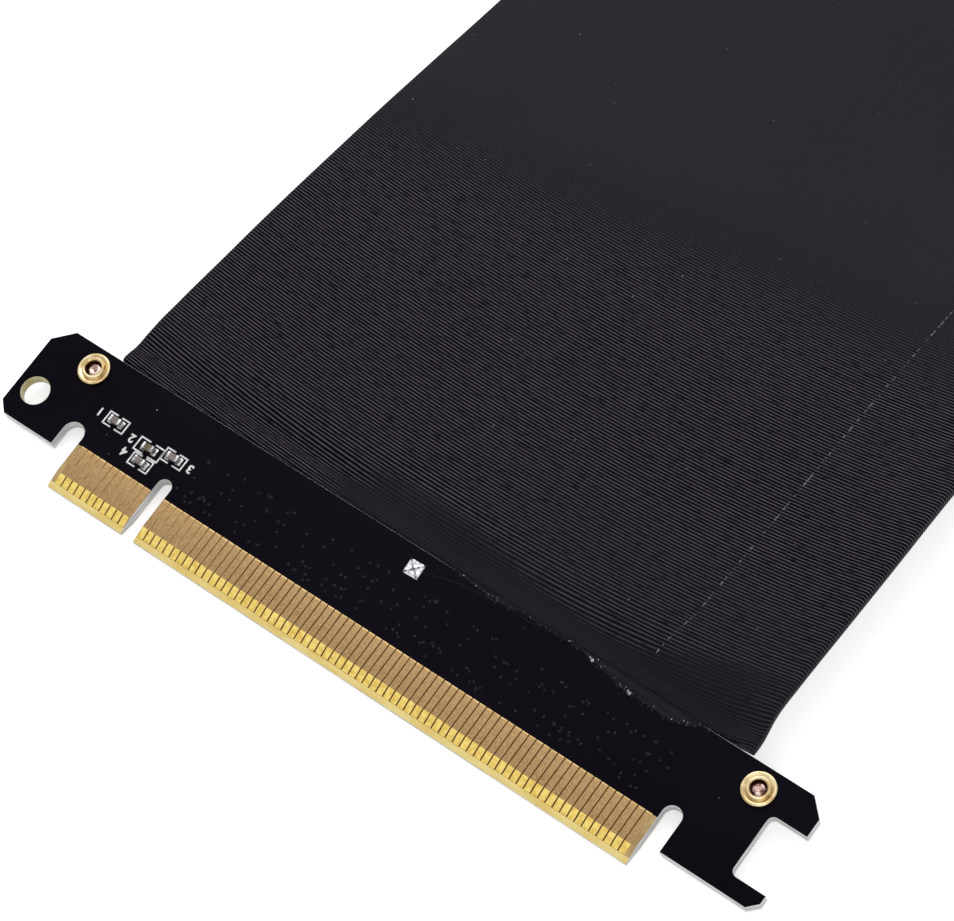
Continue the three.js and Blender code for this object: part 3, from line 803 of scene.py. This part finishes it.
def onRoute(x, y, above):
    # A point of the flat strip, bent to the cable's route, in metres
    at = min(max(y, 0), cableLength) / routeStep
    i = min(int(at), len(routeTable) - 2)
    share, part = x / cable["width"] + 0.5, at - i
    rows = []
    for (left, leftSlope), (right, rightSlope) in routeTable[i:i + 2]:
        rows.append((left + (right - left) * share, leftSlope + (rightSlope - leftSlope) * share))
    height = rows[0][0] + (rows[1][0] - rows[0][0]) * part
    slope = math.atan(rows[0][1] + (rows[1][1] - rows[0][1]) * part)
    return Vector((x, cableStart + y - above * math.sin(slope), height + above * math.cos(slope))) * mm


def stepped(value, start, end):
    t = min(max((value - start) / (end - start), 0), 1)
    return t * t * (3 - 2 * t)


def bowAt(x, y):
    # How far the ribs run ahead at x, less towards the slot
    share = x / cable["width"] + 0.5
    linear, square, tenth = cable["bow"]
    return (square * share**2 - linear * share + tenth * share**10) * (1 - stepped(y, *cable["unbow"]))


def ribStrength(x, y, above):
    # 1 where the ribs stand out, 0 where the wrap is drawn smooth
    if above < 0:
        return 1.0
    smoothEnd = 3.9 * stepped(x, -16, -6) - 2.1 * stepped(x, -4, 22) + 5.2 * stepped(x, 26, 45)
    smoothEnd += 0.35 * ripple(x * 0.25, 0, 0)
    least = 0.16 + 0.4 * stepped(x, 43.2, 44.6)
    near = max(stepped(y, smoothEnd - 0.2, smoothEnd + 1.3), least) if smoothEnd > 0.4 else 1
    fadeStart = 41.5 + 0.12 * x + 2 * ripple(x * 0.05, 3, 0)
    soft = 0.35 * stepped(x, -6, 16) * (1 - stepped(y, 8, 22))
    return near * (1 - soft) * (1 - 0.92 * stepped(y, fadeStart, fadeStart + 15))


def wrapSection():
    # Round the cable: (x, above, outward x, outward above)
    thick, r, crease = cable["thickness"] / 2, cable["corner"], cable["crease"]
    flat = cable["width"] / 2 - r
    n, m = cable["topColumns"], cable["underColumns"]
    tops = [-flat + 2 * flat * i / n for i in range(n + 1)]
    tops = [x for x in tops if abs(x - crease) > 0.8]
    tops += [crease + i * cable["creaseWidth"] for i in range(-2, 3)]
    angles = [math.radians(a) for a in (60, 30, 0)]

    def corner(side, top, turns):
        outs = [(side * math.cos(a), top * math.sin(a)) for a in turns]
        return [(side * flat + r * x, top * (thick - r) + r * z, x, z) for x, z in outs]

    return [*((x, thick, 0, 1) for x in sorted(tops)), *corner(1, 1, angles), *corner(1, -1, angles[::-1]),
            *((flat - 2 * flat * i / m, -thick, 0, -1) for i in range(m + 1)),
            *corner(-1, -1, angles), *corner(-1, 1, angles[::-1])]


def cableWrap():
    section = wrapSection()
    columns, perRib, over = len(section), cable["rowsPerRib"], cable["over"]
    ahead = cable["bow"][2] + 2 * over
    rows = int((cableLength + 2 * ahead + 1) / cable["ribPitch"]) * perRib
    bm = bmesh.new()
    bmesh.ops.create_grid(bm, x_segments=columns, y_segments=rows, size=0.5)
    ribMap = bm.loops.layers.uv.new("ribMap")
    strength = bm.verts.layers.float.new("ribStrength")
    # A layer for a paler painted sheen towards the cable's far part
    far = bm.verts.layers.float.new("farSheen")
    girth = [0.0]
    for a, b in zip(section, section[1:] + section[:1]):
        girth.append(girth[-1] + math.dist(a[:2], b[:2]))
    for face in bm.faces:
        for loop in face.loops:
            column = round((loop.vert.co.x + 0.5) * columns)
            loop[ribMap].uv = (girth[column], (loop.vert.co.y + 0.5) * rows / perRib)
    creaseHalf = 2.5 * cable["creaseWidth"]
    for vert in bm.verts:
        x, above, outX, outUp = section[round((vert.co.x + 0.5) * columns) % columns]
        rib = round((vert.co.y + 0.5) * rows) / perRib
        y = rib * cable["ribPitch"] - ahead
        y += bowAt(x, y)
        y -= 0.2 * min(y, 6)
        firm = ribStrength(x, y, above)
        proud = cable["ribHeight"] * firm * (math.cos(rib * math.tau) - 1) * (0.2 + 0.8 * abs(outUp))
        proud += 0.03 * ripple(x * 0.12, y * 0.1, above)
        fromCrease = abs(x - cable["crease"])
        if above > 0 and fromCrease < creaseHalf and y > cable["creaseStart"]:
            proud -= cable["creaseDepth"] * (1 - fromCrease / creaseHalf)
        vert.co = (x + outX * proud, y, above + outUp * proud)
        vert[strength] = firm
        # Painted sheen grows towards the far part on top; the underside takes a fixed share
        vert[far] = stepped(y, 40 + 0.12 * x, 66 + 0.12 * x) if above > 0 else 0.4
    bmesh.ops.remove_doubles(bm, verts=bm.verts, dist=0.0001)
    splitAt(bm, (0, -over, 0), (0, -1, 0), clear=True)
    splitAt(bm, (0, cableLength + over, 0), (0, 1, 0), clear=True)
    wider, flareEnd = cable["flare"]
    for vert in bm.verts:
        x, y, above = vert.co
        if x < 0:
            x -= wider * (1 - stepped(y, -over, flareEnd)) * stepped(-x, 30, 45)
        if above > 0:
            drift = math.exp(-((x - cable["crease"]) / 6) ** 2) * (1 - stepped(y, 0, 10))
            x -= cable["creaseDrift"] * drift
            above -= 0.3 * (max(-y, y - cableLength, 0) / over) ** 2
        y += cable["cornerGap"] * stepped(x, 41.5, 44) * (1 - stepped(y, 0, 3))
        vert.co = onRoute(x, y, above)
    piece = finishPiece(outward(bm), "cable_wrap_fabric", Matrix.Identity(4), [wrapMaterial()],
                        "cable_wrap", 60)


wrapLook = {
    # The first two tones are painted light on the ribs: a highlight on the crests, shade in the troughs
    "crestHighlight": (89, 83, 93), "troughShade": (1, 0, 3), "smooth": (30, 27, 35), "far": (45, 43, 49),
    "thread": (128, 128, 134), "rough": 0.62, "specular": 0.03,
}


def wrapMaterial():
    look = wrapLook
    tones = {name: shown(*look[name]) for name in ("crestHighlight", "troughShade", "smooth", "far", "thread")}
    material, nodes, shader = startMaterial("ribbedWrap")
    place = nodes.add("ShaderNodeUVMap", {"uv_map": "ribMap"}).outputs["UV"]
    parts = nodes.add("ShaderNodeSeparateXYZ", Vector=place).outputs
    strength, far = (nodes.add("ShaderNodeAttribute", {"attribute_name": name}).outputs["Fac"]
                     for name in ("ribStrength", "farSheen"))
    wave = nodes.math("COSINE", nodes.times(parts["Y"], math.tau))
    # Threads: each rib differs, and is broken along its length. The rib crests take a painted highlight and
    # the troughs painted shade
    lengths = nodes.add("ShaderNodeMapping", Vector=place, Scale=(0.5, 1.0, 1.0)).outputs[0]
    threads = nodes.smooth(nodes.noise(lengths, 1.3, 3.0), 0.1, 0.6)
    cross = nodes.noise(place, 7.0, 1.0)
    level = nodes.times(nodes.smooth(wave, -0.25, 0.95), threads)
    level = nodes.times(level, nodes.smooth(cross, 0.05, 0.5))
    ribbed = nodes.mix(level, tones["troughShade"], tones["crestHighlight"])
    # The far tone is a paler painted sheen over the plain cloth colour
    plain = nodes.mix(far, tones["smooth"], tones["far"])
    soft = nodes.place(mottle, Base=plain, Accent=shown(42, 40, 46), Scale=70, Amount=0.35,
                       Roughness=look["rough"], Spread=0.08, Grain=3000)
    color = nodes.mix(strength, soft["Color"], ribbed)
    # The crease shows as a dotted bright thread
    girth = cable["crease"] + cable["width"] / 2 - cable["corner"]
    line = nodes.math("ABSOLUTE", nodes.math("SUBTRACT", parts["X"], girth))
    along = nodes.add("ShaderNodeSeparateXYZ", Vector=nodes.objectPlace()).outputs["Y"]
    started = nodes.math("GREATER_THAN", along, (cableStart + cable["creaseStart"]) * mm)
    thread = nodes.times(nodes.math("LESS_THAN", line, 0.07), started)
    thread = nodes.times(thread, nodes.smooth(nodes.noise(place, 0.9, 2.0), 0.45, 0.66))
    dust = nodes.place(specks, Under=nodes.mix(thread, color, tones["thread"]),
                       Speck=shown(130, 128, 136), Scale=1000, Share=0.03)
    bump = nodes.add("ShaderNodeBump", Height=cross, Strength=0.3, Distance=0.03 * mm)
    nodes.feed(shader, Base_Color=dust["Color"], Roughness=soft["Roughness"],
               Normal=bump.outputs["Normal"], Specular_IOR_Level=look["specular"])
    return material


# Fabric end that laps the board, its frayed edge and the bead of sealant under it
lap = {"columns": 260, "rows": 12, "inner": 0.5, "rise": 0.13, "edge": 0.05, "thick": 0.06,
       "edgeSpan": (-6, 41.5), "slotSpan": (-44, 44)}


def lapReach(x, end):
    # Where the ragged edge lies, from the board's edge, at x from the middle
    if end == "slot":
        return 0.35 + 0.12 * ripple(x * 0.9, 7, 0)
    wide = (0.9 * stepped(x, -2, 10) - 0.35 * stepped(x, 11, 15) + 1.3 * stepped(x, 22, 30)
            - 2.0 * stepped(x, 36, 41.5))
    return 0.42 - wide + 0.14 * ripple(x * 0.8, 0, 0) + 0.12 * ripple(x * 3.1, 4, 0)


def lapPoint(x, t, end):
    reach = lapReach(x, end)
    v = lap["inner"] + (reach - lap["inner"]) * t
    drop = stepped(v, reach - 0.1, 0.45)
    w = lap["edge"] + (lap["rise"] - lap["edge"]) * drop
    w += 0.035 * ripple(x * 0.5, v * 2.2, 2) * (1 - drop) + 0.02 * ripple(x * 2, v * 4, 9)
    for high, back in ((0.04, 0.35), (0.03, 0.7)):  # two crinkles along the edge
        w += high * math.exp(-((v - reach - back) / 0.1) ** 2) * (1 - stepped(v, 0.1, 0.4))
    return Vector((x, v, w))


def lapSheet(end, place):
    bm = bmesh.new()
    bmesh.ops.create_grid(bm, x_segments=lap["columns"], y_segments=lap["rows"], size=0.5)
    left, right = lap[f"{end}Span"]
    for vert in bm.verts:
        vert.co = lapPoint(left + (right - left) * (vert.co.x + 0.5), vert.co.y + 0.5, end)
    if sum(f.normal.z for f in outward(bm).faces) < 0:
        bmesh.ops.reverse_faces(bm, faces=bm.faces)
    bmesh.ops.solidify(bm, geom=bm.faces[:], thickness=lap["thick"])
    finishPiece(bm, f"{end}_wrap_lap", place, ["lapCloth"], sharp=50)


def frayedEdge(end, place, count):
    # Short fibres along the ragged edge
    bm = bmesh.new()
    half = cable["width"] / 2 - 1.5
    for _ in range(count):
        x = random.uniform(-half, half)
        if end == "edge" and random.random() < 0.45:
            x = random.uniform(8, 41)
        foot = lapPoint(x, 1.0, end)
        one = bmesh.new()
        bmesh.ops.create_circle(one, cap_ends=True, segments=4, radius=random.uniform(0.012, 0.026))
        turn(one, math.pi / 2, "X")
        tip, heading, step = one.faces[:], random.gauss(0, 0.9), random.uniform(0.05, 0.17)
        for _ in range(4):
            heading += random.gauss(0, 0.35)
            tip = pull(one, tip, (step * math.sin(heading), -step * math.cos(heading),
                                  random.uniform(-0.03, 0.02)))
        append(bm, outward(one), foot + Vector((0, 0.1, 0.02)))
    finishPiece(bm, f"{end}_frayed_edge", place, ["fray"], sharp=80)


def sealBead(end, place):
    # Sealant between the board's edge and the cable's end
    low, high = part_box(f"{end}_seal_bead")
    half = (high[0] - low[0]) / mm / 2
    bm = boxOf((0.4 - half, 0.03, 0.1 - card["thickness"]), (half - 3, 0.87, 0.06))
    long = [e for e in bm.edges if abs(e.verts[0].co.x - e.verts[1].co.x) > 1]
    bmesh.ops.subdivide_edges(bm, edges=long, cuts=160, use_grid_fill=True)
    bevelEdges(bm, [e for e in bm.edges if len(e.link_faces) == 2 and e.calc_face_angle() > 1], 0.15, 2)
    for vert in bm.verts:
        vert.co += Vector((0, 0.02, 0.05)) * noise.noise(vert.co * 0.8)
    finishNode(bm, f"{end}_seal_bead", place, ["sealant"], 60)


def flecksOfGlue():
    # Pale crumbs on the frayed edge and a few on the board
    bm = bmesh.new()
    crumbs = [(68.4, 17.25, 0.2), (68.0, 17.4, 0.12), (74.2, 16.3, 0.22), (73.9, 16.5, 0.1),
              (-0.32, 7.99, 0.1), (5.53, 14.86, 0.08)]
    for _ in range(45):
        x = random.uniform(5, 41)
        v = card["depth"] + lapPoint(x, 1.0, "edge").y + random.uniform(0, 0.5)
        crumbs.append((card["middle"] + x, v, random.uniform(0.03, 0.07)))
    for u, v, size in crumbs:
        one = bmesh.new()
        bmesh.ops.create_icosphere(one, subdivisions=2, radius=size)
        for vert in one.verts:
            vert.co *= 1 + 0.5 * noise.noise(vert.co * 9 + Vector((u, v, 0)))
            vert.co.z *= 0.45
        append(bm, one, (u, v, 0.1 if v > 15 else 0))
    finishPiece(bm, "edge_glue_crumbs", cardToWorld, ["flecks"], sharp=20)


def glueRidge():
    # Edge of a smear of glue, from the test pad to the frayed edge
    points = [(44.7, 15.0), (46.2, 15.55), (48.2, 16.2), (50.5, 16.75), (53.2, 17.0), (56.5, 17.25),
              (60.5, 17.2)]
    bm = bmesh.new()
    bmesh.ops.create_circle(bm, cap_ends=True, segments=6, radius=0.06)
    turn(bm, math.pi / 2, "Y")
    bmesh.ops.scale(bm, vec=(1, 1, 0.5), verts=bm.verts)
    shift(bm, (*points[0], 0))
    tip, cuts = bm.faces[:], 6
    for a, b in zip(points, points[1:]):
        for _ in range(cuts):
            tip = pull(bm, tip, ((b[0] - a[0]) / cuts, (b[1] - a[1]) / cuts + random.gauss(0, 0.01), 0))
    finishPiece(outward(bm), "edge_glue_ridge", cardToWorld, ["sealant"], sharp=80)


cableWrap()
for end, place in cableEnds.items():
    sealBead(end, place)
    lapSheet(end, place)
    frayedEdge(end, place, 260 if end == "edge" else 60)
flecksOfGlue()
glueRidge()
for i in range(1, 6):
    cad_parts[f"cable_ribbon_{i}"].data.materials[0] = looks["ribbon"]
print("cable built")

# Board with the slot
slotBoard = {"length": 116, "depth": 24, "corner": 1.5, "holeInset": 3.6, "holeRadius": 1.6, "holeRow": 15.8,
             "ring": 2.6, "edgeBreak": 0.05}
slotBody = {"endWall": 1.92, "width": 7.5, "height": 11.25, "floor": 2.6, "play": 0.12, "mouth": 1.8,
            "lead": 0.6, "round": 0.3, "slitWidth": 0.54, "slitReach": 2.15, "slitFloor": 2.9,
            "stepDepth": 0.55, "stepHeight": 8.2}


def slotEndBoard():
    b, thick = slotBoard, card["thickness"]
    x, y = b["length"] / 2, b["depth"]
    spots = [(side * (x - b["holeInset"]), -b["holeRow"], b["holeRadius"]) for side in (-1, 1)]
    bm = drilled(plateOf(rectangle(-x, -y, x, 0, b["corner"]), -thick, 0), spots, (0, 0), b["edgeBreak"])
    for face in bm.faces:
        face.material_index = int(abs(face.normal.z) < 0.9)
    finishNode(bm, "slot_board", cableEnds["slot"], ["mask", "laminate"])
    rings = bmesh.new()
    inner, outer, low = b["holeRadius"] - 0.02, b["ring"], -thick
    for u, v, _ in spots:
        ring = turnedPiece([(inner, low - 0.03), (outer, low - 0.03), (outer, low + 0.01),
                            (inner + 0.03, low + 0.01), (inner + 0.03, -0.01), (outer, -0.01),
                            (outer, 0.03), (inner, 0.03)])
        append(rings, ring, (u, v, 0))
    finishPiece(rings, "slot_hole_rings", cableEnds["slot"], ["tin"])


def slotPlace():
    low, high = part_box("slot_housing")
    start = Vector((low[0] + slotBody["endWall"] * mm, (low[1] + high[1]) / 2, low[2]))
    return Matrix.Translation(start) @ Matrix.Scale(mm, 4)


def slotHousing():
    b, long = slotBody, card["shortWidth"] + card["keyWidth"]
    high, half, mouth, lead, slit = b["height"], b["width"] / 2, b["mouth"] / 2, b["lead"], b["slitWidth"] / 2
    left, right = -b["endWall"], card["length"] + b["endWall"]
    bm = boxOf((left, -half, 0), (right, half, high))
    bevelEdges(bm, [e for e in bm.edges if max(v.co.z for v in e.verts) > 1], b["round"], 3)
    # A step along both long sides, as the moulding has
    step, slits = bmesh.new(), bmesh.new()
    for side in (-1, 1):
        near, far = sorted((side * (half - b["stepDepth"]), side * (half + 1)))
        append(step, boxOf((left - 1, near, b["stepHeight"]), (right + 1, far, high + 1)))
    bm = booleanCut(bm, step)
    wall = [(mouth, b["floor"]), (mouth, high - lead), (mouth + lead, high), (mouth + lead, high + 1)]
    profile = wall + [(-y, z) for y, z in reversed(wall)]
    for start, end in ((0, card["shortWidth"]), (long, card["length"])):
        bm = booleanCut(bm, barAlong(profile, start - b["play"], end + b["play"]))
    for _, places in contactRows():
        for u in places:
            for side in (-1, 1):
                near, far = sorted((side * (mouth - 0.1), side * b["slitReach"]))
                append(slits, boxOf((u - slit, near, b["slitFloor"]), (u + slit, far, high + 1)))
    finishNode(booleanCut(bm, slits), "slot_housing", slotPlace(), ["plastic"], 30)


def slotSprings():
    # Sprung contacts: up from the floor, leaning into the mouth, tip turned back
    line = [(1.9, 2.7), (1.85, 5.0), (1.3, 7.6), (0.98, 8.7), (1.0, 9.2), (1.35, 9.7)]
    thick, half = 0.16, 0.21
    line += [(y + thick, z) for y, z in reversed(line)]
    for side, sign in (("outer", 1), ("cable", -1)):
        for group, places in contactRows():
            bm = bmesh.new()
            for u in places:
                append(bm, barAlong([(sign * y, z) for y, z in line], u - half, u + half))
            # The springs take the paler gold that paints highlight on the fingers' edges
            finishPiece(bm, f"slot_contacts_{side}_{group}", slotPlace(), ["goldEdgeHighlight"],
                        f"slot_springs_{side}_{group}", 25)


def basePad():
    low, high = (Vector(corner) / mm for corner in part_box("slot_base_pad"))
    bm = plateOf(rectangle(*low.xy, *high.xy, 1), low.z, high.z)
    breakEdges(bm, 0.25, 3)
    piece = finishPiece(bm, "slot_base_pad_foam", Matrix.Scale(mm, 4), ["foam"], "slot_base_pad")


slotEndBoard()
slotHousing()
slotSprings()
basePad()
print("slot end built")

# Stage, light and camera
view = {"place": (140.85, -250.10, 319.62), "aim": (-4.985, -88.466, 0), "roll": -5.347, "lens": 122.72}
studio = {
    "floor": 6.0, "floorGlow": 0.62, "dome": 0.5,
    "lamps": (  # place, aim, size, watts
        ((-0.35, 0.25, 0.75), (0, -0.03, 0), 0.6, 2.6),
        ((0.45, -0.55, 0.6), (0, -0.08, 0), 0.5, 1.2),
    ),
}


def raysThatSee(nodes):
    # 1 for camera, glossy and transmission rays
    path = nodes.add("ShaderNodeLightPath").outputs
    seen = nodes.math("MAXIMUM", path["Is Camera Ray"], path["Is Glossy Ray"])
    return nodes.math("MAXIMUM", seen, path["Is Transmission Ray"])


def floorPlane():
    bm = bmesh.new()
    bmesh.ops.create_grid(bm, x_segments=2, y_segments=2, size=studio["floor"])
    shift(bm, (0, 0, -0.02 * mm))
    material, nodes, shader = startMaterial("paleFloor")
    glow = nodes.times(raysThatSee(nodes), studio["floorGlow"])
    nodes.feed(shader, Base_Color=(0.9, 0.9, 0.9, 1), Roughness=0.9, Specular_IOR_Level=0.1,
               Emission_Color=(1, 1, 1, 1), Emission_Strength=glow)
    asObject(bm, "floor", [material])


def softLight():
    world = bpy.data.worlds.new("studio")
    bpy.context.scene.world = world
    world.use_nodes = True
    nodes = Nodes(world.node_tree)
    strength = nodes.math("MULTIPLY_ADD", raysThatSee(nodes), 1 - studio["dome"], studio["dome"])
    nodes.feed(world.node_tree.nodes["Background"], Color=(1, 1, 1, 1), Strength=strength)
    for place, aim, size, watts in studio["lamps"]:
        lamp = bpy.data.lights.new("softbox", "AREA")
        lamp.shape, lamp.size, lamp.energy = "SQUARE", size, watts
        holder = link(bpy.data.objects.new("softbox", lamp))
        holder.location = place
        holder.rotation_euler = (Vector(aim) - Vector(place)).to_track_quat("-Z", "Y").to_euler()


def makeCamera():
    data = bpy.data.cameras.new("camera")
    data.lens, data.sensor_width = view["lens"], 36
    data.clip_start, data.clip_end = 0.01, 20
    camera = link(bpy.data.objects.new("camera", data))
    place, aim = Vector(view["place"]) * mm, Vector(view["aim"]) * mm
    camera.location = place
    camera.rotation_mode = "QUATERNION"
    roll = Quaternion((0, 0, 1), math.radians(view["roll"]))
    camera.rotation_quaternion = (aim - place).to_track_quat("-Z", "Y") @ roll
    bpy.context.scene.camera = camera


floorPlane()
softLight()
makeCamera()
bpy.context.scene.view_settings.view_transform = "Standard"
print("stage, light and camera ready")
